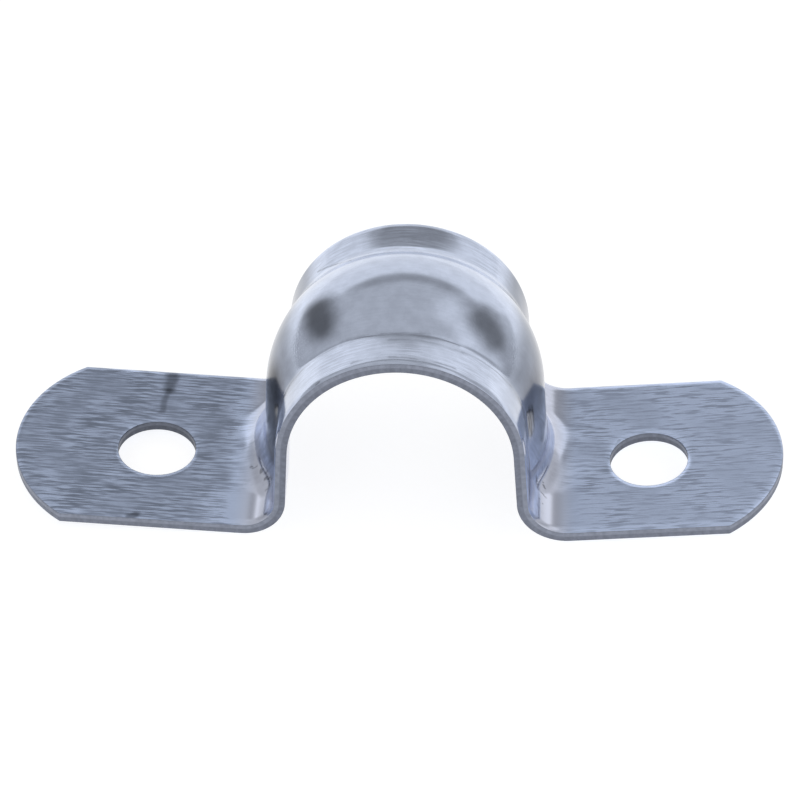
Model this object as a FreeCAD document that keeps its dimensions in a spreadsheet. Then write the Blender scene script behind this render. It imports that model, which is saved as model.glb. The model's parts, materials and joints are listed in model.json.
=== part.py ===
"""Two-hole conduit strap, pressed from one piece of steel sheet.

A flat strip is bent over a die: an arch that sits on the conduit, two legs, and
two ears that are screwed to the wall. A rib is pressed outwards along the arch
and the legs, and runs out on the ears through the bends, so that the strap
keeps its shape when the screws are pulled tight. The ears rise a little towards
their ends, which gives the strap its spring.

Frame: the origin is on the conduit's axis, midway across the strap. +X runs
along the strap, +Y along the conduit and +Z away from the wall. Millimetres.
"""
import FreeCAD, Part
import os
from math import atan2, cos, radians, sin
import Sketcher

Vector = FreeCAD.Vector

SIZES = [
    ("conduit_radius", 10.0),      # the seat, for a 20 mm conduit
    ("axis_height", 8.95),         # conduit axis above the wall
    ("sheet", 1.1),                # thickness of the strip
    ("strap_width", 20.0),
    ("rib_width", 11.5),           # across the feet of the rib, on the arch
    ("rib_height", 1.5),           # how far the rib stands out of the sheet
    ("rib_shift", 0.25),           # rib's centre line from the middle of the strip, to +Y
    ("rib_sink", 0.25),            # the rib's crest ends this far under the ear's face
    ("foot_radius", 0.9),          # hollow of the rib's feet, outside
    ("lip_radius", 0.6),           # lips of the groove beneath the rib
    ("hole_radius", 3.6),          # clearance for the fixing screws
    ("hole_shift", 0.6),           # holes from the middle of the strip, to -Y
    ("end_radius", 12.2),          # arc of the ears' ends
    ("left_lean", 3.1),            # leg from upright, degrees
    ("right_lean", 4.1),
    ("left_tilt", 3.0),            # ear from the wall, degrees
    ("right_tilt", 5.9),
    ("left_bend_radius", 2.7),     # inside of the bend between leg and ear
    ("right_bend_radius", 3.35),
    ("left_rib_bend", 3.8),        # the rib's crest, where it turns on to the ear
    ("right_rib_bend", 2.9),
    ("left_hole_reach", 22.5),     # along the ear, from the conduit's axis
    ("right_hole_reach", 21.5),
    ("left_end_reach", 35.5),
    ("right_end_reach", 33.7),
]
TOOL_MARGIN = 4.0                  # the press tools reach this far past the strap
FACE_GAP = 1e-4                    # nearer than this, an edge lies in a face

doc = FreeCAD.newDocument("conduit_strap")
sizes = doc.addObject("Spreadsheet::Sheet", "sizes")
for row, (name, value) in enumerate(SIZES, start=1):
    sizes.set(f"A{row}", name)
    sizes.set(f"B{row}", str(value))
    sizes.setAlias(f"B{row}", name)
doc.recompute()

strap = doc.addObject("PartDesign::Body", "strap")
strap.Label = "strap"

OUTER_ARCH = "sizes.conduit_radius + sizes.sheet"
CREST_ARCH = "sizes.conduit_radius + sizes.sheet + sizes.rib_height"
GROOVE_ARCH = "sizes.conduit_radius + sizes.rib_height"
RIB_ARC = "(sizes.rib_width * sizes.rib_width / 4 + sizes.rib_height^2) / (2 * sizes.rib_height)"


def size(expression):
    """Value of a size, or of an expression on the sizes."""
    if expression.isidentifier():
        expression = f"sizes.{expression}"
    return float(sizes.evalExpression(expression))


class Side:
    """One half of the strap in the XZ plane, with x counted outwards from the axis."""

    def __init__(self, name, way):
        self.name = name
        self.way = way                                            # -1 left, 1 right
        lean = radians(size(f"{name}_lean"))
        tilt = radians(size(f"{name}_tilt"))
        self.out = Vector(cos(lean), sin(lean))                   # square to the leg
        self.down = Vector(sin(lean), -cos(lean))                 # down the leg
        self.up = Vector(-sin(tilt), cos(tilt))                   # square to the ear
        bend = size(f"{name}_bend_radius")
        rib_bend = size(f"{name}_rib_bend")

        # the underside of the bend touches the leg's line and the wall
        under = bend + size("sheet")
        start = self.out * (size("conduit_radius") + under)
        drop = start.y + size("axis_height") - under
        self.bend_centre = start + self.down * (drop / cos(lean))

        # the rib's crest touches a line of its own, and ends under the ear's face
        start = self.out * (size(CREST_ARCH) + rib_bend)
        rise = (start - self.bend_centre).dot(self.up)
        rise_wanted = rib_bend - bend - size("rib_sink")
        self.rib_centre = start + self.down * ((rise_wanted - rise) / self.down.dot(self.up))

    def expression(self, text):
        """Fill in this side's name and way in an expression."""
        return text.replace("SIDE", self.name).replace("WAY", str(self.way))


SIDES = [Side("left", -1), Side("right", 1)]


class Outline:
    """A sketch on one of the body's own planes, drawn as a chain of lines and arcs."""

    ORIGIN = (-1, 1)
    AXES = {"level": -1, "upright": -2}

    def __init__(self, name, plane):
        self.sketch = strap.newObject("Sketcher::SketchObject", name)
        origin_plane = next(o for o in strap.Origin.OriginFeatures if o.Role == plane)
        self.sketch.AttachmentSupport = (origin_plane, "")
        self.sketch.MapMode = "FlatFace"

    def line(self, start, end):
        """Returns the line with its first and last ends."""
        line = self.sketch.addGeometry(Part.LineSegment(start, end))
        return line, 1, 2

    def arc(self, centre, start, end):
        """The short arc from start to end; the sketcher's own arcs run anticlockwise."""
        forwards = (start - centre).cross(end - centre).z > 0
        first = (start if forwards else end) - centre
        turn = atan2(first.y, first.x)
        sweep = (start - centre).getAngle(end - centre)
        circle = Part.Circle(centre, Vector(0, 0, 1), first.Length)
        arc = self.sketch.addGeometry(Part.ArcOfCircle(circle, turn, turn + sweep))
        return (arc, 1, 2) if forwards else (arc, 2, 1)

    def centre(self, arc):
        """The centre of an arc or circle, as the sketcher's rules name it."""
        return arc, 3

    def join(self, kind, pieces):
        """Join the last end of each piece to the first end of the next."""
        for (one, _, one_end), (other, other_end, _) in zip(pieces, pieces[1:]):
            self.rule(kind, one, one_end, other, other_end)

    def outward(self, side, *point):
        """A point and the origin, in the order that makes their distance along X positive."""
        return (*self.ORIGIN, *point) if side.way > 0 else (*point, *self.ORIGIN)

    def rule(self, kind, *where):
        self.sketch.addConstraint(Sketcher.Constraint(kind, *where))

    def hold(self, kind, *where):
        """Add a constraint whose value is an expression on the sizes."""
        *where, expression = where
        value = self.sketch.evalExpression(expression)
        index = self.sketch.addConstraint(Sketcher.Constraint(kind, *where, value))
        self.sketch.setExpression(f"Constraints[{index}]", expression)


def half_line(outline, side, arch_radius, bend_radius, centre):
    """Arch, leg and bend of one side, from the apex outwards, joined and held."""
    arch = size(arch_radius)
    bend = size(bend_radius)
    points = [Vector(0, arch), side.out * arch, centre - side.out * bend, centre - side.up * bend]
    apex, shoulder, ankle, ear = [Vector(side.way * p.x, p.y) for p in points]
    pieces = [
        outline.arc(Vector(), apex, shoulder),
        outline.line(shoulder, ankle),
        outline.arc(Vector(side.way * centre.x, centre.y), ankle, ear),
    ]
    outline.join("Tangent", pieces)
    (arch_arc, top, _), (leg, *_), (bend_arc, *_) = pieces
    outline.rule("Coincident", *outline.centre(arch_arc), *outline.ORIGIN)
    outline.rule("PointOnObject", arch_arc, top, outline.AXES["upright"])
    outline.hold("Radius", arch_arc, arch_radius)
    outline.hold("Angle", leg, side.expression("-90 deg + WAY * sizes.SIDE_lean * 1 deg"))
    outline.hold("Radius", bend_arc, bend_radius)
    return pieces, ear


def strap_block(side, name, arch_radius, bend_radius):
    """All that lies below one face of the strap, on one side of the conduit's axis."""
    outline = Outline(f"{side.name}_{name}", "XZ_Plane")
    pieces, ear = half_line(outline, side, arch_radius, bend_radius, side.bend_centre)
    tilt = radians(size(f"{side.name}_tilt"))
    reach = size(f"{side.name}_end_reach") + TOOL_MARGIN
    floor = -size("axis_height") - TOOL_MARGIN
    ear_end = ear + Vector(side.way * cos(tilt), sin(tilt)) * ((reach - abs(ear.x)) / cos(tilt))
    pieces.append(outline.line(ear, ear_end))
    outline.join("Tangent", pieces[-2:])
    pieces += [
        outline.line(ear_end, Vector(ear_end.x, floor)),
        outline.line(Vector(ear_end.x, floor), Vector(0, floor)),
        outline.line(Vector(0, floor), Vector(0, size(arch_radius))),
    ]
    outline.join("Coincident", pieces[-4:] + pieces[:1])
    *_, bend_arc, ear_line, end_line, floor_line, middle = [piece[0] for piece in pieces]
    outline.hold("DistanceY", *outline.centre(bend_arc), *outline.ORIGIN,
                 side.expression("sizes.axis_height - sizes.SIDE_bend_radius - sizes.sheet"))
    outline.hold("Angle", ear_line,
                 side.expression("90 deg - WAY * (90 - sizes.SIDE_tilt) * 1 deg"))
    outline.rule("Vertical", end_line)
    outline.rule("Horizontal", floor_line)
    outline.rule("Vertical", middle)
    outline.hold("DistanceX", *outline.outward(side, ear_line, 2),
                 side.expression(f"sizes.SIDE_end_reach + {TOOL_MARGIN}"))
    outline.hold("DistanceY", floor_line, 2, *outline.ORIGIN,
                 f"sizes.axis_height + {TOOL_MARGIN}")
    return outline.sketch


def rib_path(side, name, arch_radius, bend_radius):
    """The crest's line: from the apex over the arch and down the leg, on to the ear."""
    outline = Outline(f"{side.name}_{name}", "XZ_Plane")
    pieces, end = half_line(outline, side, arch_radius, bend_radius, side.rib_centre)
    arc, _, last = pieces[-1]
    outline.hold("DistanceY", *outline.centre(arc), *outline.ORIGIN, f"{-side.rib_centre.y}")
    outline.hold("DistanceX", *outline.outward(side, arc, last), f"{abs(end.x)}")
    return outline.sketch


def rib_section(name, crest, arc_radius, base):
    """The rib's section at the apex: a low arc, closed by a line at the base height."""
    outline = Outline(name, "YZ_Plane")
    radius = size(arc_radius)
    centre = Vector(size("rib_shift"), size(crest) - radius)
    level = size(base)
    half = (radius**2 - (level - centre.y)**2) ** 0.5
    low = Vector(centre.x + half, level)
    high = Vector(centre.x - half, level)
    pieces = [outline.arc(centre, low, high), outline.line(high, low)]
    outline.join("Coincident", pieces + pieces[:1])
    (arc, *_), (chord, *_) = pieces
    outline.hold("Radius", arc, arc_radius)
    outline.hold("DistanceX", *outline.ORIGIN, *outline.centre(arc), "sizes.rib_shift")
    outline.hold("DistanceY", *outline.ORIGIN, *outline.centre(arc), f"{crest} - ({arc_radius})")
    outline.rule("Horizontal", chord)
    outline.hold("DistanceY", *outline.ORIGIN, chord, 1, base)
    return outline.sketch


def sweep(kind, name, section, path):
    pipe = strap.newObject(f"PartDesign::{kind}", name)
    pipe.Profile = section
    pipe.Spine = (path, ["Edge1", "Edge2", "Edge3"])
    return pipe


def round_edges(name, sketches, radius):
    """Round the edges that the rib or its groove leaves in one face of the sheet.

    The face is the one that the sketches outline, so an edge belongs to it when
    it lies on that outline, seen along the conduit.
    """
    doc.recompute()
    base = strap.Tip
    outline = Part.Compound([sketch.Shape for sketch in sketches])
    middle = size("rib_shift")
    reach = size("rib_width") / 2 + size("rib_height") / 2
    chosen = []
    for index, edge in enumerate(base.Shape.Edges, start=1):
        points = edge.discretize(Number=5)
        gaps = [outline.distToShape(Part.Vertex(p.x, 0, p.z))[0] for p in points]
        sideways = [abs(p.y - middle) for p in points]
        if max(gaps) < FACE_GAP and max(sideways) < reach:
            chosen.append(f"Edge{index}")
    fillet = strap.newObject("PartDesign::Fillet", name)
    fillet.Base = (base, chosen)
    fillet.setExpression("Radius", f"sizes.{radius}")


def ear_punch(side):
    """The ear's rounded end and its screw hole, punched square to the ear."""
    name = side.name
    outline = Outline(f"{name}_punch", "XY_Plane")
    sketch = outline.sketch
    turn = FreeCAD.Rotation(Vector(0, -side.way, 0), size(f"{name}_tilt"))
    sketch.AttachmentOffset = FreeCAD.Placement(Vector(), turn)
    sketch.setExpression("AttachmentOffset.Rotation.Angle", f"sizes.{name}_tilt * 1 deg")
    half = size("strap_width") / 2
    radius = size("end_radius")
    reach = size(f"{name}_end_reach")
    centre = Vector(side.way * (reach - radius), 0)
    corner = centre.x + side.way * (radius**2 - half**2) ** 0.5
    far = side.way * (reach + 2 * TOOL_MARGIN)
    wide = half + TOOL_MARGIN
    points = [Vector(corner, half), Vector(corner, wide), Vector(far, wide),
              Vector(far, -wide), Vector(corner, -wide), Vector(corner, -half)]
    pieces = [outline.line(a, b) for a, b in zip(points, points[1:])]
    pieces.append(outline.arc(centre, points[-1], points[0]))
    outline.join("Coincident", pieces + pieces[:1])
    far_line = pieces[2][0]
    arc, arc_first, arc_last = pieces[-1]
    outline.rule("PointOnObject", *outline.centre(arc), outline.AXES["level"])
    outline.hold("Radius", arc, "sizes.end_radius")
    outline.hold("DistanceX", *outline.outward(side, *outline.centre(arc)),
                 f"sizes.{name}_end_reach - sizes.end_radius")
    for line, direction in zip(pieces[:5], ("Vertical", "Horizontal") * 3):
        outline.rule(direction, line[0])
    for piece, low, high, width in (
        (arc, arc_first, arc_last, "sizes.strap_width / 2"),
        (far_line, 2, 1, f"sizes.strap_width / 2 + {TOOL_MARGIN}"),
    ):
        outline.hold("DistanceY", piece, low, *outline.ORIGIN, width)
        outline.hold("DistanceY", *outline.ORIGIN, piece, high, width)
    outline.hold("DistanceX", *outline.outward(side, far_line, 1),
                 f"sizes.{name}_end_reach + {2 * TOOL_MARGIN}")

    hole_centre = Vector(side.way * size(f"{name}_hole_reach"), -size("hole_shift"))
    hole = sketch.addGeometry(Part.Circle(hole_centre, Vector(0, 0, 1), size("hole_radius")))
    outline.hold("Radius", hole, "sizes.hole_radius")
    outline.hold("DistanceX", *outline.outward(side, *outline.centre(hole)),
                 f"sizes.{name}_hole_reach")
    outline.hold("DistanceY", *outline.centre(hole), *outline.ORIGIN, "sizes.hole_shift")
    return sketch


# the rib, solid at first
section = rib_section("rib_section", CREST_ARCH, RIB_ARC, "sizes.conduit_radius + sizes.sheet / 2")
for side in SIDES:
    path = rib_path(side, "rib_path", CREST_ARCH, f"sizes.{side.name}_rib_bend")
    sweep("AdditivePipe", f"{side.name}_rib", section, path)

# the sheet: what lies between its outer face and the die
blocks = []
for side in SIDES:
    blocks.append(strap_block(side, "block", OUTER_ARCH, f"sizes.{side.name}_bend_radius"))
    pad = strap.newObject("PartDesign::Pad", f"{side.name}_half")
    pad.Profile = blocks[-1]
    pad.SideType = "Symmetric"
    pad.setExpression("Length", "sizes.strap_width")

dies = []
for side in SIDES:
    dies.append(strap_block(side, "die", "sizes.conduit_radius",
                            f"sizes.{side.name}_bend_radius + sizes.sheet"))
    pocket = strap.newObject("PartDesign::Pocket", f"{side.name}_underside")
    pocket.Profile = dies[-1]
    pocket.Type = "ThroughAll"
    pocket.SideType = "Symmetric"

round_edges("rib_feet", blocks, "foot_radius")

# the groove beneath the rib, so that the rib has the sheet's thickness
section = rib_section("groove_section", GROOVE_ARCH, f"{RIB_ARC} - sizes.sheet",
                      "sizes.conduit_radius - sizes.sheet")
for side in SIDES:
    path = rib_path(side, "groove_path", GROOVE_ARCH, f"sizes.{side.name}_rib_bend + sizes.sheet")
    sweep("SubtractivePipe", f"{side.name}_groove", section, path)

round_edges("groove_lips", dies, "lip_radius")

# the ears' ends and screw holes
for side in SIDES:
    pocket = strap.newObject("PartDesign::Pocket", f"{side.name}_blanking")
    pocket.Profile = ear_punch(side)
    pocket.Type = "ThroughAll"

doc.recompute()
for thing in doc.Objects:
    if "Invalid" in thing.State or "Error" in thing.State:
        raise RuntimeError(f"{thing.Name} failed: {thing.State}")
if strap.Shape.isNull() or not strap.Shape.isValid() or len(strap.Shape.Solids) != 1:
    raise RuntimeError("the strap isn't one valid solid")
os.makedirs("parts", exist_ok=True)
strap.Shape.exportStep(f"parts/{strap.Label}.step")
print("volume", round(strap.Shape.Volume, 1), "area", round(strap.Shape.Area, 1))
print("extents", strap.Shape.optimalBoundingBox())
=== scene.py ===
# %% [markdown]
# # A conduit strap in pressed steel
# The real strap is one strip of steel, bent over a die and stiffened with a
# pressed rib. It holds a conduit to a wall with two screws. There are no moving
# parts and no separate pieces, so the whole lesson is about one sheet: its
# folds, the rib that runs out through them, its cut edges and its rolled skin.

# %% Load the packed strap
import bpy
import json
import math
import numpy as np
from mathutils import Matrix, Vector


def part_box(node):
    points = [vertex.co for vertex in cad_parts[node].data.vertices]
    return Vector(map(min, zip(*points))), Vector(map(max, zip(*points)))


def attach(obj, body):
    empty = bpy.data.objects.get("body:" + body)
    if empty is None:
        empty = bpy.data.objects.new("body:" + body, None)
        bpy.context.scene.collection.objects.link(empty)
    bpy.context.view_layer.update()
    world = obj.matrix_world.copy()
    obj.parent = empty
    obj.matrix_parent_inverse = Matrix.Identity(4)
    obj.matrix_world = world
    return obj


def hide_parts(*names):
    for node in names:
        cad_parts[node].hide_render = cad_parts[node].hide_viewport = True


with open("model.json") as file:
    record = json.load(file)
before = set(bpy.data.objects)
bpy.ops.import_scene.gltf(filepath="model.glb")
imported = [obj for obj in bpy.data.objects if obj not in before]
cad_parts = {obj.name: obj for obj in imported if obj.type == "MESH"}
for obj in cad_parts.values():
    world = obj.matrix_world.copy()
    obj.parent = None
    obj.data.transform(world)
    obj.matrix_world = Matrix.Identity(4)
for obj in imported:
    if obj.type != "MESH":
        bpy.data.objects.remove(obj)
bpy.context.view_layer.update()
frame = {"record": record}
mounts = {mount["name"]: mount for mount in frame["record"]["mounts"]}
print("mounts", sorted(mounts))

# %% [markdown]
# ## The sizes of the strip
# Everything below is worked out in millimetres, because the sizes of sheet metal
# are, and turned into metres when a mesh is made. The seat's radius, the holes
# and the slope of the ears are read from the frame. The rest are the sizes that
# the strap is pressed to.

# %% Sizes
MM = 0.001                        # metres
SEAT = mounts["conduit_seat"]["dims"]["r_mm"]
SHEET = mounts["left_screw_hole"]["dims"]["length_mm"]
HOLE = mounts["left_screw_hole"]["dims"]["r_mm"]
HALF_WIDTH = mounts["conduit_seat"]["dims"]["length_mm"] / 2
HOLE_Y = mounts["left_screw_hole"]["pos_m"][1] / MM
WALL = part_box("strap")[0].z / MM
RIB_HEIGHT = 1.5
RIB_WIDTH = 11.5
RIB_Y = 0.25
RIB_SINK = 0.25                   # its crest ends this far under the ear's face
RUN_OUT = 2.2                     # length of the fade beyond it, on the ear
FOOT_RADIUS = 0.9
REAR_SOFTER = 3.5                 # the rear foot was pressed less sharply than the front one
EAR_SOFTER = 8.0                  # and the foot on the ear is softer still
LIP_RADIUS = 0.6
END_RADIUS = 12.2
FACE = SEAT + SHEET               # radius of the arch's outer face
print("seat", SEAT, "sheet", SHEET, "hole", HOLE, "half width", HALF_WIDTH,
      "wall", round(WALL, 2))

# %% [markdown]
# ## Two unequal halves
# The strap was meant to be the same on both sides, but it left the press with
# its legs and ears at slightly different angles. Mirroring one half would lose
# that, so each half works out its own folds: where the arch ends, where the bend
# turns, and how far along the strip each of them starts.


# %% The halves
class Side:
    """Half of the strap seen along the conduit, with x counted outwards.

    stations are the distances along the strip from the apex to the ends of arch,
    leg and bend, and turns are the normal's angles from upright there.
    """

    def __init__(self, way, lean, bend, rib_bend, end_reach):
        mount = mounts["left_screw_hole" if way < 0 else "right_screw_hole"]
        place, axis = np.array(mount["pos_m"]) / MM, mount["axis"]
        self.way, self.bend, self.rib_bend = way, bend, rib_bend
        self.tilt = math.atan2(abs(axis[0]), axis[2])
        lean = math.radians(lean)
        out = np.array([math.cos(lean), math.sin(lean)])
        down = np.array([math.sin(lean), -math.cos(lean)])
        up = np.array([-math.sin(self.tilt), math.cos(self.tilt)])
        along = np.array([math.cos(self.tilt), math.sin(self.tilt)])
        self.shoulder = FACE * out
        start = (FACE + bend) * out
        self.bend_centre = start + down * (start[1] - WALL - bend - SHEET) / math.cos(lean)
        start = (FACE + RIB_HEIGHT + rib_bend) * out
        rise = np.dot(start - self.bend_centre, up)
        wanted = rib_bend - bend - RIB_SINK
        self.rib_centre = start + down * (wanted - rise) / np.dot(down, up)
        ankle = self.bend_centre - bend * out
        self.ear_start = self.bend_centre - bend * up
        turn = math.pi / 2 - lean
        self.turns = [0, turn, turn, -self.tilt]
        steps = [0, FACE * turn, np.linalg.norm(ankle - self.shoulder), bend * (turn + self.tilt)]
        self.stations = np.cumsum(steps)
        # the hole's and the end's reach along the ear, counted from the apex instead
        offset = self.stations[3] - float(np.dot(self.ear_start, along))
        self.hole = float(np.dot([abs(place[0]), place[2]], along)) + offset
        self.end = end_reach + offset


LEFT = Side(-1, lean=3.1, bend=2.7, rib_bend=3.8, end_reach=35.5)
RIGHT = Side(1, lean=4.1, bend=3.35, rib_bend=2.9, end_reach=33.7)
for side in (LEFT, RIGHT):
    print("strip, from the apex:", np.round(side.stations, 2), "hole", round(side.hole, 2),
          "end", round(side.end, 2))

# %% [markdown]
# ## The strip's outer face
# The face could be drawn as a curve and extruded, but then the rib would be a
# second shape to join on. Here the face is a function instead: it is given how
# far along the strip a point lies, and answers with its place and the direction
# that the face looks in. The rib, the groove and the thickness are then only
# distances along that direction.


# %% The outer face as a function of the distance along the strip
def outer_face(side, along):
    """Place (x, z) and normal (x, z) of the face at distances along the strip.

    The normal's angle from upright is a chain of straight ramps: it turns by
    distance / radius on the arch and on the bend, and stays on leg and ear.
    On an arc, place = centre +- radius * normal; on a flat, place = start +
    distance * tangent.
    """
    angle = np.interp(along, side.stations, side.turns)
    normal = np.stack([np.sin(angle), np.cos(angle)], -1)
    tangent = np.stack([np.cos(angle), -np.sin(angle)], -1)
    arch = FACE * normal
    leg = side.shoulder + (along - side.stations[1])[..., None] * tangent
    bend = side.bend_centre - side.bend * normal
    ear = side.ear_start + (along - side.stations[3])[..., None] * tangent
    part = np.searchsorted(side.stations[1:], along)[..., None]
    return np.choose(part, [arch, leg, bend, ear]), normal, tangent


print("the left half's folds, (x, z):", np.round(outer_face(LEFT, LEFT.stations)[0], 2).tolist())

# %% [markdown]
# ## The rib and its groove
# The rib is the skilled part of the pressing. Its section is a low arc that
# follows the arch and the leg, then turns on to the ear on a curve of its own,
# wider than the bend, and sinks into the ear. Beneath it runs a groove of the
# same form, so the sheet keeps its thickness. A sweep and a boolean could make
# both, but leave hard corners. Measured along the face's normal, the rib is only
# a height, and a smooth maximum of that height and the bare face gives the soft
# foot that a press leaves. The two soft steps come first.


# %% Soft steps
def smooth_maximum(a, b, soft):
    """The larger of a and b, with a round of depth soft / 4 where they cross."""
    near = np.maximum(soft - np.abs(a - b), 0)
    return np.maximum(a, b) + near * near / (4 * soft)


def smooth_step(x):
    """0 below 0, 1 above 1, and 3x^2 - 2x^3 between."""
    x = np.clip(x, 0, 1)
    return x * x * (3 - 2 * x)


print("where two faces cross, a softness of 0.4 mm adds", smooth_maximum(0.0, 0.0, 0.4), "mm")

# %% [markdown]
# ## The height of the rib
# The real rib is deepest on the arch and keeps its depth down the legs. In the
# bend it can't follow the sheet, because steel that is already stiff turns more
# slowly, so it cuts the corner. On the ear it dies away over two millimetres, and
# its foot is so soft there that no line can be seen. Three cases of one height
# are joined here, for arch and leg, bend, and ear.


# %% Height of the rib above the face
def rib_height(side, along, across, under):
    """How far the rib (or, with under = 1, the groove) lifts a face of the sheet.

    On the arch and leg: rib height - depth, where depth = R - sqrt(R^2 - y^2)
    for an arc section of radius R. Below that, the ray from the face along its
    normal meets the circle of radius bend + depth about the centre of the rib's
    own bend: height = -b - sqrt(b^2 - c). On the ear it sinks by the square of
    the distance beyond that bend. The foot softens from the leg to the ear.
    """
    section = (RIB_WIDTH**2 / 4 + RIB_HEIGHT**2) / (2 * RIB_HEIGHT)
    steep = math.asin(RIB_WIDTH / 2 / section)
    section -= under * SHEET
    y = np.clip(across - RIB_Y, -0.99 * section, 0.99 * section)    # keeps the root real
    depth = section - np.sqrt(section**2 - y**2)
    place, normal, tangent = outer_face(side, along)
    away = place - under * SHEET * normal - side.rib_centre
    b = (away * normal).sum(-1)
    root = b * b - (away * away).sum(-1) + (side.rib_bend + under * SHEET + depth)**2
    height = np.where(root > 0, -b - np.sqrt(np.maximum(root, 0)), -RIB_HEIGHT)
    beyond = (away * tangent).sum(-1)
    on_arch = (along < side.stations[2]) & (beyond < 0)
    on_ear = (along > side.stations[3]) & (beyond > 0)
    height = np.where(on_arch, RIB_HEIGHT - depth, height)
    height = np.where(on_ear, -RIB_SINK - depth - (beyond / RUN_OUT)**2, height)
    radius = LIP_RADIUS if under else FOOT_RADIUS
    softer = np.where(across > RIB_Y, REAR_SOFTER, 1)
    to_ear = smooth_step((along - side.stations[2] + 1) / (side.stations[3] - side.stations[2]))
    softer = softer + to_ear * (EAR_SOFTER - softer)
    return smooth_maximum(height, 0, radius * softer * math.tan(steep / 2) * math.tan(steep))


at_apex = rib_height(RIGHT, np.zeros(3), np.array([RIB_Y, RIB_Y + 5, 9.0]), 0)
print("rib height at the crest, near its foot and beyond:", np.round(at_apex, 3))

# %% [markdown]
# ## Cut edges and small faults
# The blank is cut before it is bent. The punch drags the top skin down a little
# at the outline and at the holes, which leaves a bright rolled rim. One ear has
# sprung out of line by a degree, and where the rib drew the steel in, the arch's
# edges have curled up a little. A Bevel modifier would round the rims evenly on
# both skins. Here all three are small heights, added to the face's own.

# %% Rolled rims, twist and curl
ROLL_DEPTH = 0.13
ROLL_WIDTH = 0.55
TWIST = math.radians(1.13)        # the left ear, about its own length
TWIST_RUN = 5                     # the twist comes in over this length of the bend
FRONT_CURL = (0.28, 5.8, 1.3)     # at the apex: height, where it starts, power of its rise
REAR_CURL = (0.10, 6.6, 2)


def edge_distance(side, along, across):
    """Distances on the flat blank from a point to the outline and to the hole."""
    to_side = HALF_WIDTH - np.abs(across)
    arc_centre = side.end - END_RADIUS
    to_end = END_RADIUS - np.hypot(along - arc_centre, across)
    outline = np.where(along > arc_centre, np.minimum(to_side, to_end), to_side)
    hole = np.hypot(along - side.hole, across - HOLE_Y) - HOLE
    return np.maximum(outline, 0), np.maximum(hole, 0)


def rolled(distance):
    """The drop towards a cut edge: depth * (1 - distance / width)^2."""
    return ROLL_DEPTH * np.clip(1 - distance / ROLL_WIDTH, 0, 1)**2


def curl(along, across):
    """How far the edges curl up: height * share^power * cos^2(angle round the arch)."""
    crown = np.cos(np.minimum(along / FACE, math.pi / 2))**2
    rise = 0
    for outwards, (height, start, power) in ((-across, FRONT_CURL), (across, REAR_CURL)):
        rise = rise + height * np.clip((outwards - start) / (HALF_WIDTH - start), 0, 1)**power
    return crown * rise


print("curl at the apex, front and rear edge:", curl(0.0, np.array([-HALF_WIDTH, HALF_WIDTH])))

# %% [markdown]
# ## The whole sheet as one function
# Everything so far meets in one function: face, rib, groove, rims, curl and twist.
# It takes a point of the flat blank and says where the press puts it. A lattice or
# a Simple Deform modifier bends a flat mesh too, but it stretches the sheet, and
# here every hole and edge keeps its distance along the strip.


# %% The whole sheet as a function
def half_sheet(side, along, across, under):
    """Place (x, y, z) of blank points on one half: face + height * normal."""
    place, normal, _ = outer_face(side, along)
    top = rib_height(side, along, across, 0)
    for distance in edge_distance(side, along, across):
        top = top - rolled(distance)
    bottom = rib_height(side, along, across, 1) - SHEET
    height = (1 - under) * top + under * bottom
    height = height + curl(along, across)
    if side is LEFT:
        share = smooth_step((along - side.stations[2]) / TWIST_RUN)
        height = height + share * across * math.tan(TWIST)
    place = place + height[:, None] * normal
    return np.stack([side.way * place[:, 0], across, place[:, 1]], 1)


def sheet(blank):
    """Place of points (along, across, under), where along counts to +x from the apex.

    under is 0 on the skin that shows, 1 on the skin towards the wall, and between
    them on the cut edge.
    """
    along, across, under = blank.T
    left = half_sheet(LEFT, np.abs(along), across, under)
    right = half_sheet(RIGHT, np.abs(along), across, under)
    return np.where(along[:, None] < 0, left, right)


print("both skins at the apex:", np.round(sheet(np.array([(0, 0, 0), (0, 0, 1.0)])), 3).tolist())

# %% [markdown]
# ## The flat blank
# A press starts from a flat blank, and so does the mesh: a grid of lines along
# and across the strip, close together where the steel turns sharply. Round each
# screw hole a square of the grid is left out and filled with rings that run from
# the square in to the round rim. This keeps every face a tidy four-sided one,
# where a boolean would leave slivers.


# %% Lines of the grid
RIM = np.array([0, 0.04, 0.1, 0.18, 0.28, 0.4, 0.55, 0.75])    # rows beside a cut edge
SQUARE = 4.6                      # half the square round a hole
ALONG_STEPS = [0.3, 0.25, 0.14, 0.16, 0.24, 0.4, 0.4]           # arch, leg, bend, ear
ACROSS_STEPS = [0.35, 0.11, 0.35, 0.3, 0.11, 0.35]              # finest at the rib's feet


def fill(stops, steps):
    """Numbers from the first stop to the last, about a step apart in each span."""
    spans = [np.linspace(a, b, max(2, round((b - a) / step) + 1))[:-1]
             for a, b, step in zip(stops, stops[1:], steps)]
    return np.concatenate(spans + [stops[-1:]])


def lines_along(side):
    """Distances of the cross lines from the apex to the ear's end."""
    arch, leg, bend = side.stations[1:]
    stops = [0, arch, leg, bend, bend + 1.5, side.hole - SQUARE, side.hole + SQUARE,
             side.end - RIM[-1]]
    return np.concatenate([fill(stops, ALONG_STEPS), side.end - RIM[-2::-1]])


feet = [RIB_Y - RIB_WIDTH / 2, RIB_Y + RIB_WIDTH / 2]
across_stops = [-HALF_WIDTH + RIM[-1], feet[0] - 0.8, HOLE_Y - SQUARE, HOLE_Y + SQUARE,
                feet[1] - 0.6, feet[1] + 0.8, HALF_WIDTH - RIM[-1]]
across_lines = np.concatenate([-HALF_WIDTH + RIM[:-1], fill(across_stops, ACROSS_STEPS),
                               HALF_WIDTH - RIM[-2::-1]])
along_lines = np.concatenate([-lines_along(LEFT)[:0:-1], lines_along(RIGHT)])
print(len(along_lines), "cross lines,", len(across_lines), "long lines")

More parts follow.
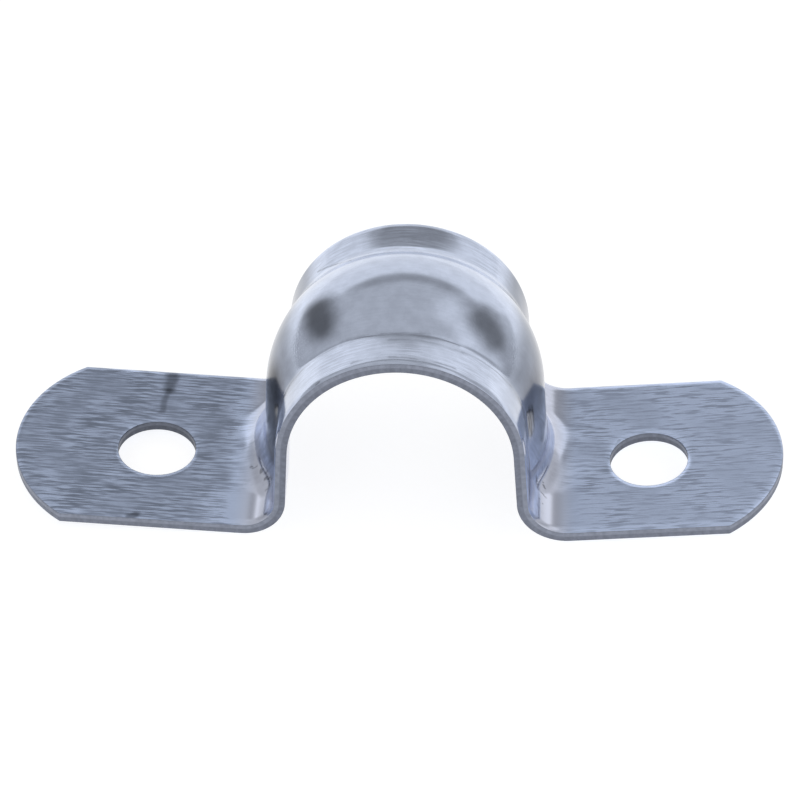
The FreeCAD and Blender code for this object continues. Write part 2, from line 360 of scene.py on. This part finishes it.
# %% [markdown]
# ## Rounded ends and round holes
# The ears end in an arc, and the holes are circles, but the grid is straight. Past
# a hole the cross lines are therefore drawn out one by one until the last of them
# is the arc. Round a hole the square's border is joined to the rim by rays, so
# every point of the border has its own point on the circle.


# %% End arcs and hole rings
def end_arc(along, across):
    """Draws the lines past a hole out to the ear's end: reach = centre + sqrt(R^2 - y^2)."""
    out = along.copy()
    for side in (LEFT, RIGHT):
        first = side.hole + SQUARE
        arc = side.end - END_RADIUS + np.sqrt(END_RADIUS**2 - across**2)
        share = (side.way * along - first) / (side.end - first)
        out = np.where(share > 0, side.way * (first + share * (arc - first)), out)
    return out


RING_ROWS = 5                     # even rows between the rim's rows and the border


def ring_rows(square, centre):
    """Rows from a hole's rim to the square's border, closer together at the rim.

    place = centre + direction * distance, with the distances of RIM at first,
    then in even steps to the border.
    """
    ray = square - centre
    length = np.linalg.norm(ray, axis=1)
    direction = ray / length[:, None]
    near = HOLE + RIM[:-1, None] + np.zeros(len(square))
    even = np.arange(RING_ROWS)[:, None] / RING_ROWS
    far = (1 - even) * (HOLE + RIM[-1]) + even * length
    return centre + np.concatenate([near, far])[:, :, None] * direction


print("reach of the left ear's last line, middle and edge:",
      end_arc(np.array([-LEFT.end, -LEFT.end]), np.array([0, HALF_WIDTH])))

# %% [markdown]
# ## One skin of the blank
# The faces are a table: each row of points joined to the next, in fours. The
# squares round the holes are left out of the table and the rings put in, and the
# loops of points along the outline and the rims are kept for the cut edge.


# %% One skin of the blank
def quads(table, closed=False):
    """Four-sided faces of a table of vertex numbers, anticlockwise if rows run outwards."""
    if closed:
        table = np.concatenate([table, table[:, :1]], 1)
    return np.stack([table[:-1, :-1], table[1:, :-1], table[1:, 1:], table[:-1, 1:]],
                    -1).reshape(-1, 4)


def skin():
    """Points of one skin on the blank, its faces, and its border and rim loops."""
    grid = np.stack(np.meshgrid(along_lines, across_lines, indexing="ij"), -1)
    grid[..., 0] = end_arc(grid[..., 0], grid[..., 1])
    rows, columns = grid.shape[:2]
    number = np.arange(rows * columns).reshape(rows, columns)
    keep = np.ones((rows - 1, columns - 1), bool)
    points, rings, rims = [grid.reshape(-1, 2)], [], []
    count = rows * columns
    for side in (LEFT, RIGHT):
        middle = side.way * side.hole
        i0, i1 = np.flatnonzero(np.abs(np.abs(along_lines - middle) - SQUARE) < 1e-6)
        j0, j1 = np.flatnonzero(np.abs(np.abs(across_lines - HOLE_Y) - SQUARE) < 1e-6)
        keep[i0:i1, j0:j1] = False
        border = np.concatenate([number[i0:i1, j0], number[i1, j0:j1],
                                 number[i1:i0:-1, j1], number[i0, j1:j0:-1]])
        ring = ring_rows(grid.reshape(-1, 2)[border], np.array([middle, HOLE_Y]))
        table = count + np.arange(ring.shape[0] * len(border)).reshape(-1, len(border))
        count += table.size
        points.append(ring.reshape(-1, 2))
        rings.append(quads(np.concatenate([table, border[None]]), closed=True))
        rims.append(table[0])
    plate = quads(number).reshape(rows - 1, columns - 1, 4)[keep]
    outline = np.concatenate([number[:-1, 0], number[-1, :-1], number[:0:-1, -1],
                              number[0, :0:-1]])
    return np.concatenate(points), np.concatenate([plate] + rings), outline, rims


points, faces, outline, rims = skin()
print(len(points), "points and", len(faces), "faces in a skin")

# %% [markdown]
# ## Closing the blank
# The skin is used twice, once looking out and once looking at the wall. A band
# of faces joins the two along every cut. Its profile is that of sheared steel: a
# smooth, slightly proud upper part where the punch rubbed, and a flat lower part
# where the steel tore.

# %% The cut edge and the closed blank
SHEAR = np.array([(0.04, 0.03), (0.1, 0.045), (0.25, 0.05), (0.42, 0.045),
                  (0.5, 0.02), (0.8, 0.02), (0.95, 0.01)])      # (share of depth, proud)


def cut_edge(loop, outwards):
    """Rows of blank points down a cut: loop + normal * proud, at each share of depth."""
    tangent = np.roll(loop, -1, 0) - np.roll(loop, 1, 0)
    normal = np.stack([tangent[:, 1], -tangent[:, 0]], 1)
    normal *= outwards / np.linalg.norm(normal, axis=1)[:, None]
    place = loop + SHEAR[:, 1, None, None] * normal
    depth = np.broadcast_to(SHEAR[:, 0, None, None], place.shape[:2] + (1,))
    return np.concatenate([place, depth], -1)


def whole_blank():
    """All blank points and faces, and a mark for the faces of the cut."""
    size = len(points)
    blank = [np.column_stack([points, np.zeros(size)]), np.column_stack([points, np.ones(size)])]
    skins = np.concatenate([faces, faces[:, ::-1] + size])
    cuts, count = [], 2 * size
    for loop, outwards in [(outline, 1)] + [(rim, -1) for rim in rims]:
        rows = cut_edge(points[loop], outwards)
        table = count + np.arange(rows.shape[0] * len(loop)).reshape(-1, len(loop))
        count += table.size
        blank.append(rows.reshape(-1, 3))
        band = quads(np.concatenate([loop[None], table, loop[None] + size]), closed=True)
        cuts.append(band[:, ::outwards])
    cut = np.concatenate(cuts)
    is_cut = np.repeat([0, 1], [len(skins), len(cut)])
    return np.concatenate(blank), np.concatenate([skins, cut]), is_cut


blank, corners, is_cut = whole_blank()
print(len(corners), "faces, of which", is_cut.sum(), "on the cut")

# %% [markdown]
# ## The mesh
# The arrays now become a mesh in three calls, with no loop over points. Each point
# keeps its place on the flat blank as an attribute, so that the material can
# follow the strip round its folds. The faces of the cut get the second material.


# %% The pressed strap
SHARP = math.radians(40)          # steeper creases than this stay sharp
STRIP = "strip"                   # the mesh's attribute: along, across, under


def mesh_object(name, place, corners):
    """A mesh of four-sided faces from arrays, with the points that no face uses left out."""
    used = np.unique(corners)
    renumber = np.zeros(len(place), int)
    renumber[used] = np.arange(len(used))
    corners = renumber[corners]
    mesh = bpy.data.meshes.new(name)
    mesh.vertices.add(len(used))
    mesh.vertices.foreach_set("co", (place[used] * MM).astype(np.float32).ravel())
    mesh.loops.add(corners.size)
    mesh.loops.foreach_set("vertex_index", corners.astype(np.int32).ravel())
    mesh.polygons.add(len(corners))
    mesh.polygons.foreach_set("loop_start", np.arange(0, corners.size, 4, dtype=np.int32))
    mesh.update(calc_edges=True)
    mesh.validate()
    thing = bpy.data.objects.new(name, mesh)
    bpy.context.scene.collection.objects.link(thing)
    return thing, used


strap, used = mesh_object("pressed_strap", sheet(blank), corners)
strap.data.polygons.foreach_set("material_index", is_cut.astype(np.int32))
strap.data.shade_smooth()
strap.data.set_sharp_from_angle(angle=SHARP)
strip_store = strap.data.attributes.new(STRIP, "FLOAT_VECTOR", "POINT")
strip_store.data.foreach_set("vector", blank[used].astype(np.float32).ravel())
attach(strap, "root")
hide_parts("strap")
print(strap.name, len(strap.data.vertices), "points,", len(strap.data.polygons), "faces")

# %% [markdown]
# ## Helpers for materials
# A material is a graph of nodes, and so is the studio's light. A few short
# helpers keep the graphs readable: each adds a node and returns the socket that
# holds its answer, so a formula reads like a formula.


# %% Node helpers
class Nodes:
    """The emptied node tree of a material or world, with a short call for each step."""

    def __init__(self, owner):
        owner.use_nodes = True
        self.tree = owner.node_tree
        self.tree.nodes.clear()

    def add(self, kind, inputs=None, **settings):
        """Adds a node, sets its properties, and fills its sockets with values or links."""
        made = self.tree.nodes.new(kind)
        for name, value in settings.items():
            setattr(made, name, value)
        for name, value in (inputs or {}).items():
            socket = made.inputs[name]
            if isinstance(value, bpy.types.NodeSocket):
                self.tree.links.new(value, socket)
            else:
                socket.default_value = value
        return made

    def math(self, operation, a, b=0.0):
        """A number worked out from two numbers, such as their sum."""
        return self.add("ShaderNodeMath", {0: a, 1: b}, operation=operation).outputs[0]

    def vector(self, operation, a, b):
        """A vector worked out from two vectors, or their dot product or distance."""
        made = self.add("ShaderNodeVectorMath", {0: a, 1: b}, operation=operation)
        return made.outputs["Value" if operation in ("DOT_PRODUCT", "DISTANCE") else "Vector"]

    def ramp(self, value, low, high, start=0.0, end=1.0):
        """A smooth step of a value: start below low, end above high."""
        made = self.add("ShaderNodeMapRange", {"Value": value, "From Min": low, "From Max": high,
                        "To Min": start, "To Max": end}, interpolation_type="SMOOTHSTEP")
        return made.outputs[0]

    def noise(self, place, scale, detail, rough=0.5):
        """A noise from 0 to 1, with most of it near a half."""
        made = self.add("ShaderNodeTexNoise", {"Vector": place, "Scale": scale,
                        "Detail": detail, "Roughness": rough})
        return made.outputs[0]


print("node helpers:", [name for name in vars(Nodes) if not name.startswith("_")])

# %% [markdown]
# ## Helpers for colour and metal
# Both of the strap's finishes are bare metal: a colour that tints what it
# mirrors, a roughness and a relief. A clear coat over a grey plastic can look much
# the same from one side, but it loses the tint of its highlights, so the shader's
# Metallic is set to 1 instead.


# %% Colour and metal helpers
def mixed(nodes, share, a, b):
    """The colour a where share is 0, and b where it is 1."""
    return nodes.add("ShaderNodeMix", {0: share, 6: a, 7: b}, data_type="RGBA").outputs[2]


def scaled(nodes, colour, tone):
    """A colour times a number."""
    made = nodes.add("ShaderNodeVectorMath", {0: colour, "Scale": tone}, operation="SCALE")
    return made.outputs["Vector"]


def shaded(nodes, tone, share, factor):
    """tone, times factor where the share is 1."""
    change = nodes.math("ADD", nodes.math("MULTIPLY", share, factor - 1.0), 1.0)
    return nodes.math("MULTIPLY", tone, change)


def bare_metal(nodes, colour, rough, relief, depth):
    """Finishes a tree as bare metal, with a relief whose depth is in metres."""
    bump = nodes.add("ShaderNodeBump", {"Strength": 1.0, "Distance": depth, "Height": relief})
    surface = nodes.add("ShaderNodeBsdfPrincipled", {
        "Base Color": colour, "Metallic": 1.0, "Roughness": rough,
        "Normal": bump.outputs["Normal"]})
    nodes.add("ShaderNodeOutputMaterial", {"Surface": surface.outputs[0]})


print("helpers:", mixed.__name__, scaled.__name__, shaded.__name__, bare_metal.__name__)

# %% [markdown]
# ## Where things are on the strip
# Marks on sheet metal belong to the sheet: rolling lines run along it, and a nick or a smudge
# stays where it was made. The painted reflections and shade are fixed on the strip in the same
# way. So the material doesn't read a place in space but the strip's own two distances, which the
# mesh carries as an attribute. A mark is a short line on the strip with a width. A little noise on
# the distances keeps its outline ragged, as a real stain's is.


# %% Places and marks on the strip
def strip_place(nodes, ragged=0.0, grain=0.6):
    """Distances (along, across, 0) in millimetres, pushed about by a noise of size ragged."""
    carried = nodes.add("ShaderNodeAttribute", attribute_name=STRIP).outputs["Vector"]
    flat = nodes.vector("MULTIPLY", carried, (1, 1, 0))
    if not ragged:
        return flat
    made = nodes.add("ShaderNodeTexNoise", {"Vector": flat, "Scale": grain, "Detail": 3.0})
    push = nodes.vector("SUBTRACT", made.outputs["Color"], (0.5, 0.5, 0.5))
    return nodes.vector("ADD", flat, nodes.vector("MULTIPLY", push, (ragged, ragged, 0)))


def mark(nodes, place, start, end, core, reach):
    """1 within core of the line from start to end, and 0 beyond reach.

    The nearest point of the line is start + share * run, with the share the dot
    product (place - start) . run / run^2 held between 0 and 1.
    """
    start = np.array([*start, 0.0])
    run = np.array([*end, 0.0]) - start
    square = max(float(run @ run), 1e-6)        # a mark may be a single point
    away = nodes.vector("SUBTRACT", place, tuple(start))
    share = nodes.vector("DOT_PRODUCT", away, tuple(run / square))
    share = nodes.math("MAXIMUM", nodes.math("MINIMUM", share, 1.0), 0.0)
    joined = nodes.add("ShaderNodeCombineXYZ", {"X": share, "Y": share, "Z": 0.0}).outputs[0]
    nearest = nodes.vector("MULTIPLY", joined, tuple(run))
    return nodes.ramp(nodes.vector("DISTANCE", away, nearest), core, reach, 1.0, 0.0)


print("the materials read the attribute", STRIP)

# %% [markdown]
# ## Rolled steel
# The strip is cold-rolled and thinly plated, so it is a mirror with fine lines in
# it: ridges a few micrometres high that the rolls left along the strip. They
# break up the reflection on the flat ears. On the rib the die has ironed them
# flat. A picture of brushed metal would slide over the folds; two noises,
# stretched along the strip, follow them, and a slow third one makes the lines
# come and go in patches.


# %% Rolling lines
EAR = (LEFT.stations[3] + RIGHT.stations[3]) / 2                 # where the ears start
LINES_A_MM = (0.3, 3.8, 1)        # along and across the strip
FINE_LINES_A_MM = (0.7, 7.0, 1)


def rolling_lines(nodes, place):
    """Fine lines along the strip, 0 to 1, each a few millimetres long."""
    lines = nodes.noise(nodes.vector("MULTIPLY", place, LINES_A_MM), 1.0, 1.0)
    fine = nodes.noise(nodes.vector("MULTIPLY", place, FINE_LINES_A_MM), 1.0, 1.0)
    both = nodes.math("ADD", nodes.math("MULTIPLY", lines, 0.6), nodes.math("MULTIPLY", fine, 0.4))
    return nodes.ramp(both, 0.40, 0.61)


def strip_numbers(nodes):
    """The strip's numbers one by one: along, across, under, and the sizes of the first two."""
    carried = nodes.add("ShaderNodeAttribute", attribute_name=STRIP).outputs["Vector"]
    parts = nodes.add("ShaderNodeSeparateXYZ", {"Vector": carried}).outputs
    return {"along": parts["X"], "across": parts["Y"], "under": parts["Z"],
            "far": nodes.math("ABSOLUTE", parts["X"]), "side": nodes.math("ABSOLUTE", parts["Y"])}


def line_strength(nodes, place, strip):
    """How strongly the lines show: patches of full strength on the ears, less elsewhere.

    strength = slow noise * the largest of 1 on the ears, 0.3 on the arch's flat
    edges near its top, and 0.05 on the rib.
    """
    slow = nodes.ramp(nodes.noise(place, 0.22, 2.0), 0.34, 0.62, 0.35, 1.0)
    on_ear = nodes.ramp(strip["far"], EAR - 1.0, EAR + 1.5)
    on_edge = nodes.math("MULTIPLY", nodes.ramp(strip["side"], 5.4, 6.4),
                         nodes.ramp(strip["far"], 6.0, 12.0, 1.0, 0.25))
    region = nodes.math("MAXIMUM", on_ear, nodes.math("MULTIPLY", on_edge, 0.3))
    return nodes.math("MULTIPLY", slow, nodes.math("MAXIMUM", region, 0.05))


print("lines a millimetre across the strip:", LINES_A_MM[1], "and", FINE_LINES_A_MM[1])

# %% [markdown]
# ## Stains, painted reflections and painted crease shade
# The tone isn't even. Painted shade darkens the sides of the arch. Painted dark reflections lie on
# its shoulders, on the top of its rear edge and where the rib turns down into the bend, and
# painted highlights lie beside the bends. There is a smudge on one ear and a nick or two at the
# edges. Inside each bend the skin is creased, because it was pushed together there, and the
# creases are drawn as painted shade. These marks are what make the strap this one and not any
# other, so each has its own line in a list.

# %% The marks and painted reflections of this strap
# most broad marks are painted reflections: dark above the bends, on the shoulders and rear edge,
# bright beside the bends
MARKS_AND_PAINTED_REFLECTIONS = [                         # start, end, core, reach (mm), factor on the tone
    ((-15.0, -3.4), (-21.0, -4.2), 0.9, 3.0, 0.22),     # painted dark reflection above the left bend
    ((15.4, -3.4), (20.5, -3.4), 0.8, 3.2, 0.62),       # and above the right one
    ((-7.4, -1.2), (-7.0, -3.3), 0.4, 2.5, 0.30),       # painted dark reflection on the shoulders
    ((6.7, -2.3), (8.0, -3.5), 0.4, 2.5, 0.42),
    ((-1.6, 8.7), (2.4, 8.8), 0.5, 1.6, 0.82),          # and the top of the rear edge
    ((-35.2, 9.6), (-35.45, 7.4), 0.25, 0.9, 0.50),     # smudge on the left ear
    ((-35.45, 7.4), (-35.9, 4.2), 0.1, 0.5, 0.62),
    ((-37.1, -9.8), (-36.6, -9.6), 0.1, 0.5, 0.45),     # nick at its front edge
    ((-26.8, -7.4), (-29.0, -7.8), 0.6, 3.2, 1.42),     # painted highlights beside the bends
    ((25.6, -6.4), (28.8, -7.4), 0.8, 3.6, 1.35),
]
FINE_MARKS_AND_PAINTED_SHADE = [                    # thin lines, nicks, painted reflections and painted crease shade, broken up by the grain
    ((-16.2, -5.0), (-17.0, -5.5), 0.2, 0.6, 0.50),     # painted dark reflection, deeper, above the bends
    ((15.8, -4.8), (17.8, -4.9), 0.4, 0.9, 0.40),
    ((31.8, 1.2), (32.1, 2.1), 0.1, 0.3, 0.65),         # speckle by the right hole
    ((-26.8, -2.9), (-26.5, -3.2), 0.05, 0.2, 0.55),    # painted shade in the creases inside the left bend
    ((-26.3, -3.3), (-25.8, -3.1), 0.03, 0.15, 0.60),
    ((-25.4, -4.0), (-24.3, -4.6), 0.1, 0.35, 0.50),
    ((-24.9, -5.0), (-24.0, -5.5), 0.1, 0.30, 0.50),
    ((-25.0, -6.3), (-24.4, -6.0), 0.04, 0.20, 0.55),
    ((-24.9, -9.6), (-24.4, -9.3), 0.08, 0.30, 0.35),   # nick at the bend's front edge
    ((23.7, -4.8), (24.1, -5.3), 0.05, 0.30, 0.40),     # painted shade in the creases inside the right bend
    ((24.8, -4.6), (25.2, -5.2), 0.05, 0.22, 0.40),
    ((24.5, -5.6), (25.3, -6.1), 0.04, 0.20, 0.50),
    ((24.5, -6.7), (24.9, -7.1), 0.04, 0.22, 0.50),
    ((24.2, -7.8), (25.0, -8.4), 0.03, 0.15, 0.65),
    ((-7.8, -9.8), (-7.5, -9.7), 0.05, 0.25, 0.50),     # nick at the arch's front edge
    ((-9.3, 7.3), (-5.2, 5.7), 0.04, 0.22, 0.55),       # line drawn behind the rib
    ((-5.2, 5.7), (-1.5, 5.2), 0.04, 0.22, 0.65),
    ((-5.5, -5.75), (5.0, -5.7), 0.06, 0.45, 0.72),     # lines drawn before it
    ((-4.2, -9.1), (4.8, -9.2), 0.03, 0.25, 0.60),
    ((-1.0, -6.6), (6.0, -6.5), 0.03, 0.30, 0.75),
    ((5.5, -6.4), (11.5, -6.0), 0.03, 0.20, 0.70),
    ((-12.5, -6.0), (-6.0, -5.9), 0.03, 0.20, 0.72),
]


def stain_and_reflection_tone(nodes, strip, lines):
    """The marks' factors multiplied together, painted reflections and crease shade among them, on
    the skin that the die touched only.
    """
    ragged = strip_place(nodes, 0.9)
    stain_and_reflection_factor = 1.0
    for *where, factor in MARKS_AND_PAINTED_REFLECTIONS:
        stain_and_reflection_factor = shaded(nodes, stain_and_reflection_factor, mark(nodes, ragged, *where), factor)
    frayed = strip_place(nodes, 0.35, 2.0)
    broken = nodes.ramp(lines, 0.25, 0.6, 0.2, 1.0)
    for *where, factor in FINE_MARKS_AND_PAINTED_SHADE:
        share = nodes.math("MULTIPLY", mark(nodes, frayed, *where), broken)
        stain_and_reflection_factor = shaded(nodes, stain_and_reflection_factor, share, factor)
    on_top = nodes.ramp(strip["under"], 0.2, 0.6, 1.0, 0.0)
    change = nodes.math("MULTIPLY", nodes.math("SUBTRACT", stain_and_reflection_factor, 1.0), on_top)
    return nodes.math("ADD", change, 1.0)


print(len(MARKS_AND_PAINTED_REFLECTIONS), "broad marks and", len(FINE_MARKS_AND_PAINTED_SHADE), "fine ones")

# %% [markdown]
# ## The tone of the steel
# A mirror shows the room, so its own colour only dims what it shows. One number, the tone, gathers
# everything that dims it: the lines, painted shade on the flanks of the arch, a darker left ear
# and a lighter right one, and the marks with their painted reflections and shade. It could be
# painted on the mesh as a colour, but a number from nodes stays sharp however near one looks.


# %% Tone
# painted shade: the arch's flanks are darkened in place of the darker reflections they show
FLANK_SHADE_TONE = 0.42
LEFT_EAR_TONE = 0.69
RIGHT_EAR_TONE = 1.12
LINE_SWING = 0.85                 # how far the lines sway the tone, where they show fully
BRIGHTEST = 1.14                  # above this, the ears' blue would pass 1


def steel_tone(nodes, place, strip, lines, show):
    """The factor on the steel's colour: lines * painted flank shade * ears * marks and painted
    reflections * a faint mottle.
    """
    swing = nodes.math("MULTIPLY", nodes.math("SUBTRACT", lines, 0.42), LINE_SWING)
    tone = nodes.math("ADD", nodes.math("MULTIPLY", swing, show), 1.0)
    # painted shade on the flanks of the arch
    flank_shade = nodes.math("MULTIPLY", nodes.ramp(strip["far"], 9.0, 12.0),
                       nodes.ramp(strip["far"], 16.0, 19.0, 1.0, 0.0))
    flank_shade = nodes.math("MULTIPLY", flank_shade, nodes.ramp(strip["across"], -7.5, -4.5, 0.3, 1.0))
    tone = shaded(nodes, tone, flank_shade, FLANK_SHADE_TONE)
    left_ear = nodes.ramp(strip["along"], -EAR - 2.0, -EAR - 0.5, 1.0, 0.0)
    tone = shaded(nodes, tone, left_ear, LEFT_EAR_TONE)
    right_ear = nodes.ramp(strip["along"], EAR + 2.0, EAR + 9.0)
    tone = shaded(nodes, tone, right_ear, RIGHT_EAR_TONE)
    tone = nodes.math("MULTIPLY", tone, stain_and_reflection_tone(nodes, strip, lines))
    mottle = nodes.ramp(nodes.noise(place, 0.7, 4.0, 0.6), 0.3, 0.7, 0.93, 1.06)
    return nodes.math("MINIMUM", nodes.math("MULTIPLY", tone, mottle), BRIGHTEST)


print("tone of the flanks", FLANK_SHADE_TONE, "and of the ears", LEFT_EAR_TONE, RIGHT_EAR_TONE)

# %% [markdown]
# ## The steel itself
# The tint is that of zinc, a little bluer on the flat ears. The relief is real
# bump of a few micrometres: the rolling lines, and a fine grain on the shoulders,
# where the die pressed hardest. It only stirs the reflections. Every shape that
# can be seen as a shape is in the mesh.


# %% Rolled steel
ARCH_TINT = (0.58, 0.64, 0.78, 1)
LEG_TINT = (0.62, 0.65, 0.765, 1)
EAR_TINT = (0.545, 0.635, 0.84, 1)
LINE_DEPTH = 3.5e-6               # metres
SHOULDERS = [((-9.6, -3.3), (-5.4, -2.2)), ((5.3, -2.2), (9.6, -3.3))]


def rolled_steel():
    """Bright metal: colour = tint * tone, with the lines and the die's grain as relief."""
    material = bpy.data.materials.new("rolled_steel")
    nodes = Nodes(material)
    place = strip_place(nodes)
    strip = strip_numbers(nodes)
    lines = rolling_lines(nodes, place)
    show = line_strength(nodes, place, strip)
    tint = mixed(nodes, nodes.ramp(strip["far"], 12.0, 15.0), ARCH_TINT, LEG_TINT)
    tint = mixed(nodes, nodes.ramp(strip["far"], EAR - 1.5, EAR + 1.0), tint, EAR_TINT)
    colour = scaled(nodes, tint, steel_tone(nodes, place, strip, lines, show))
    left, right = [mark(nodes, place, *ends, 0.8, 2.2) for ends in SHOULDERS]
    shoulders = nodes.math("MAXIMUM", left, right)
    grain = nodes.math("MULTIPLY", nodes.noise(place, 5.0, 1.0), shoulders)
    relief = nodes.math("ADD", nodes.math("MULTIPLY", lines, show),
                        nodes.math("MULTIPLY", grain, 2.5))
    rough = nodes.math("ADD", nodes.ramp(show, 0.1, 0.9, 0.15, 0.24),
                       nodes.math("MULTIPLY", shoulders, 0.04))
    bare_metal(nodes, colour, rough, relief, LINE_DEPTH)
    return material


steel = rolled_steel()
print(steel.name, len(steel.node_tree.nodes), "nodes")

# %% [markdown]
# ## The sheared edge
# Where the blank was cut there is no plating, so the steel is greyer and duller.
# The upper part was rubbed smooth by the punch; below it the steel tore, and is
# rougher and darker. The mesh marks its cut faces as a second material, and the
# strip's third number, the share of the depth, tells the two zones apart. The
# holes are deeper and see less light than the outline, and are darker.


# %% Sheared edge
EDGE_TINT = (0.25, 0.272, 0.335)
TORN_DEPTH = 12e-6                # metres
HOLE_TONES = ((LEFT, 0.55), (RIGHT, 0.75))


def sheared_edge():
    """Dull metal: a smooth upper zone, a torn lower one, and darker in the holes."""
    material = bpy.data.materials.new("sheared_edge")
    nodes = Nodes(material)
    place = strip_place(nodes)
    carried = nodes.add("ShaderNodeAttribute", attribute_name=STRIP).outputs["Vector"]
    depth = nodes.add("ShaderNodeSeparateXYZ", {"Vector": carried}).outputs["Z"]
    fine = nodes.noise(nodes.vector("MULTIPLY", carried, (2.2, 2.2, 1.5)), 1.0, 3.0, 0.6)
    torn = nodes.ramp(nodes.math("ADD", depth, nodes.math("MULTIPLY", fine, 0.25)), 0.5, 0.62)
    tone = shaded(nodes, nodes.ramp(fine, 0.3, 0.7, 0.88, 1.14), torn, 0.86)
    for side, factor in HOLE_TONES:
        centre = (side.way * side.hole, HOLE_Y)
        in_hole = mark(nodes, place, centre, centre, HOLE + 0.3, HOLE + 0.6)
        tone = shaded(nodes, tone, in_hole, factor)
    rough = nodes.ramp(torn, 0.0, 1.0, 0.42, 0.58)
    relief = nodes.math("MULTIPLY", fine, torn)
    bare_metal(nodes, scaled(nodes, EDGE_TINT, tone), rough, relief, TORN_DEPTH)
    return material


for material in (steel, sheared_edge()):
    strap.data.materials.append(material)
print("slots", [slot.material.name for slot in strap.material_slots])

# %% [markdown]
# ## A white paper floor
# The strap lies on plain white paper. Seen straight on or mirrored in the steel
# the paper is white, so the object stands free. For every other ray it is a
# matt pale grey, because it should light the strap no more than paper does.

# %% Floor
FLOOR_REACH = 3.0                 # metres
FLOOR_GAP = 0.3                   # mm below the lowest ear tip, so that nothing cuts into it
floor_mesh = bpy.data.meshes.new("floor")
corner = FLOOR_REACH * np.array([(-1, -1, 0), (1, -1, 0), (1, 1, 0), (-1, 1, 0)])
floor_mesh.from_pydata(corner.tolist(), [], [(0, 1, 2, 3)])
floor = bpy.data.objects.new("floor", floor_mesh)
floor.location.z = (WALL - FLOOR_GAP) * MM
bpy.context.scene.collection.objects.link(floor)
paper = bpy.data.materials.new("white_paper")
nodes = Nodes(paper)
rays = nodes.add("ShaderNodeLightPath").outputs
seen = nodes.math("MAXIMUM", rays["Is Camera Ray"], rays["Is Glossy Ray"])
seen = nodes.math("MAXIMUM", seen, rays["Is Transmission Ray"])
plain = nodes.add("ShaderNodeBsdfDiffuse", {"Color": (0.9, 0.9, 0.9, 1)})
grey = nodes.add("ShaderNodeBsdfDiffuse", {"Color": (0.4, 0.4, 0.4, 1)})
glow = nodes.add("ShaderNodeEmission", {"Strength": 0.8})
white = nodes.add("ShaderNodeAddShader", {0: grey.outputs[0], 1: glow.outputs[0]})
both = nodes.add("ShaderNodeMixShader", {0: seen, 1: plain.outputs[0], 2: white.outputs[0]})
nodes.add("ShaderNodeOutputMaterial", {"Surface": both.outputs[0]})
floor_mesh.materials.append(paper)
print("floor at", round(floor.location.z / MM, 2), "mm")

# %% [markdown]
# ## The studio
# Polished metal has hardly any colour of its own: it shows the room. So the room
# is worked out with the same care as the strap. It is one soft even light, with a
# few broad patches that are lighter or darker: a white card behind the strap, a
# gap above the card, and the dark corners of the room. Area lamps would do, but
# each patch of the world is a direction and a width, which is easier to read.

# %% Studio light
AMBIENT = 0.60
LIGHT_PATCHES = [                 # azimuth from the back, elevation, core, reach (degrees), light
    (-57, 17, 7, 21, -0.10),
    (66, 27, 4, 19, -0.10),
    (58, 50, 4, 20, 0.22),
    (100, 30, 8, 30, 0.34),
    (-150, 30, 10, 40, 0.30),
    (150, 35, 10, 40, 0.25),
]
world = bpy.data.worlds.new("studio")
bpy.context.scene.world = world
nodes = Nodes(world)
direction = nodes.add("ShaderNodeTexCoord").outputs["Generated"]
light = AMBIENT
for azimuth, elevation, core, reach, strength in LIGHT_PATCHES:
    a, e = math.radians(azimuth), math.radians(elevation)
    axis = (math.sin(a) * math.cos(e), math.cos(a) * math.cos(e), math.sin(e))
    towards = nodes.vector("DOT_PRODUCT", direction, axis)
    patch = nodes.ramp(towards, math.cos(math.radians(reach)), math.cos(math.radians(core)),
                       0.0, strength)
    light = nodes.math("ADD", patch, light)
xyz = nodes.add("ShaderNodeSeparateXYZ", {0: direction}).outputs
depth = nodes.math("MAXIMUM", xyz["Y"], 0.05)
card_x = nodes.math("DIVIDE", nodes.math("ABSOLUTE", xyz["X"]), depth)
card_z = nodes.math("DIVIDE", xyz["Z"], depth)
# the card reaches card_x 0.9 to each side and card_z 0.6 up, with the gap above it
card = nodes.math("MULTIPLY", nodes.ramp(card_x, 0.84, 1.0, 0.33, 0.0),
                  nodes.ramp(card_z, 0.56, 0.70, 1.0, 0.0))
gap = nodes.math("MULTIPLY", nodes.ramp(card_x, 0.5, 0.9, -0.22, 0.0),
                 nodes.ramp(card_z, 0.56, 0.70))
gap = nodes.math("MULTIPLY", gap, nodes.ramp(card_z, 0.88, 1.02, 1.0, 0.0))
behind = nodes.math("MULTIPLY", nodes.math("ADD", card, gap), nodes.ramp(xyz["Y"], 0.0, 0.2))
light = nodes.math("ADD", light, behind)
sky = nodes.add("ShaderNodeBackground", {"Color": (0.985, 0.99, 1.0, 1), "Strength": light})
nodes.add("ShaderNodeOutputWorld", {"Surface": sky.outputs[0]})
print("studio:", len(LIGHT_PATCHES), "patches round a light of", AMBIENT)

# %% [markdown]
# ## The camera
# A long lens from in front and above, as for a catalogue: far enough away that
# both ears look the same size, and high enough to see the holes as ovals.

# %% Camera
camera_data = bpy.data.cameras.new("camera")
camera_data.lens = 131.86
camera_data.sensor_width = 36
camera = bpy.data.objects.new("camera", camera_data)
camera.location = (0.009712, -0.201519, 0.172122)
camera.rotation_euler = [math.radians(angle) for angle in (49.304, 0.256, 2.674)]
bpy.context.scene.collection.objects.link(camera)
bpy.context.scene.camera = camera
bpy.context.scene.view_settings.view_transform = "Standard"
print("camera", round(math.dist(camera.location, (0, 0, 0)), 3), "m from the strap")

# %% [markdown]
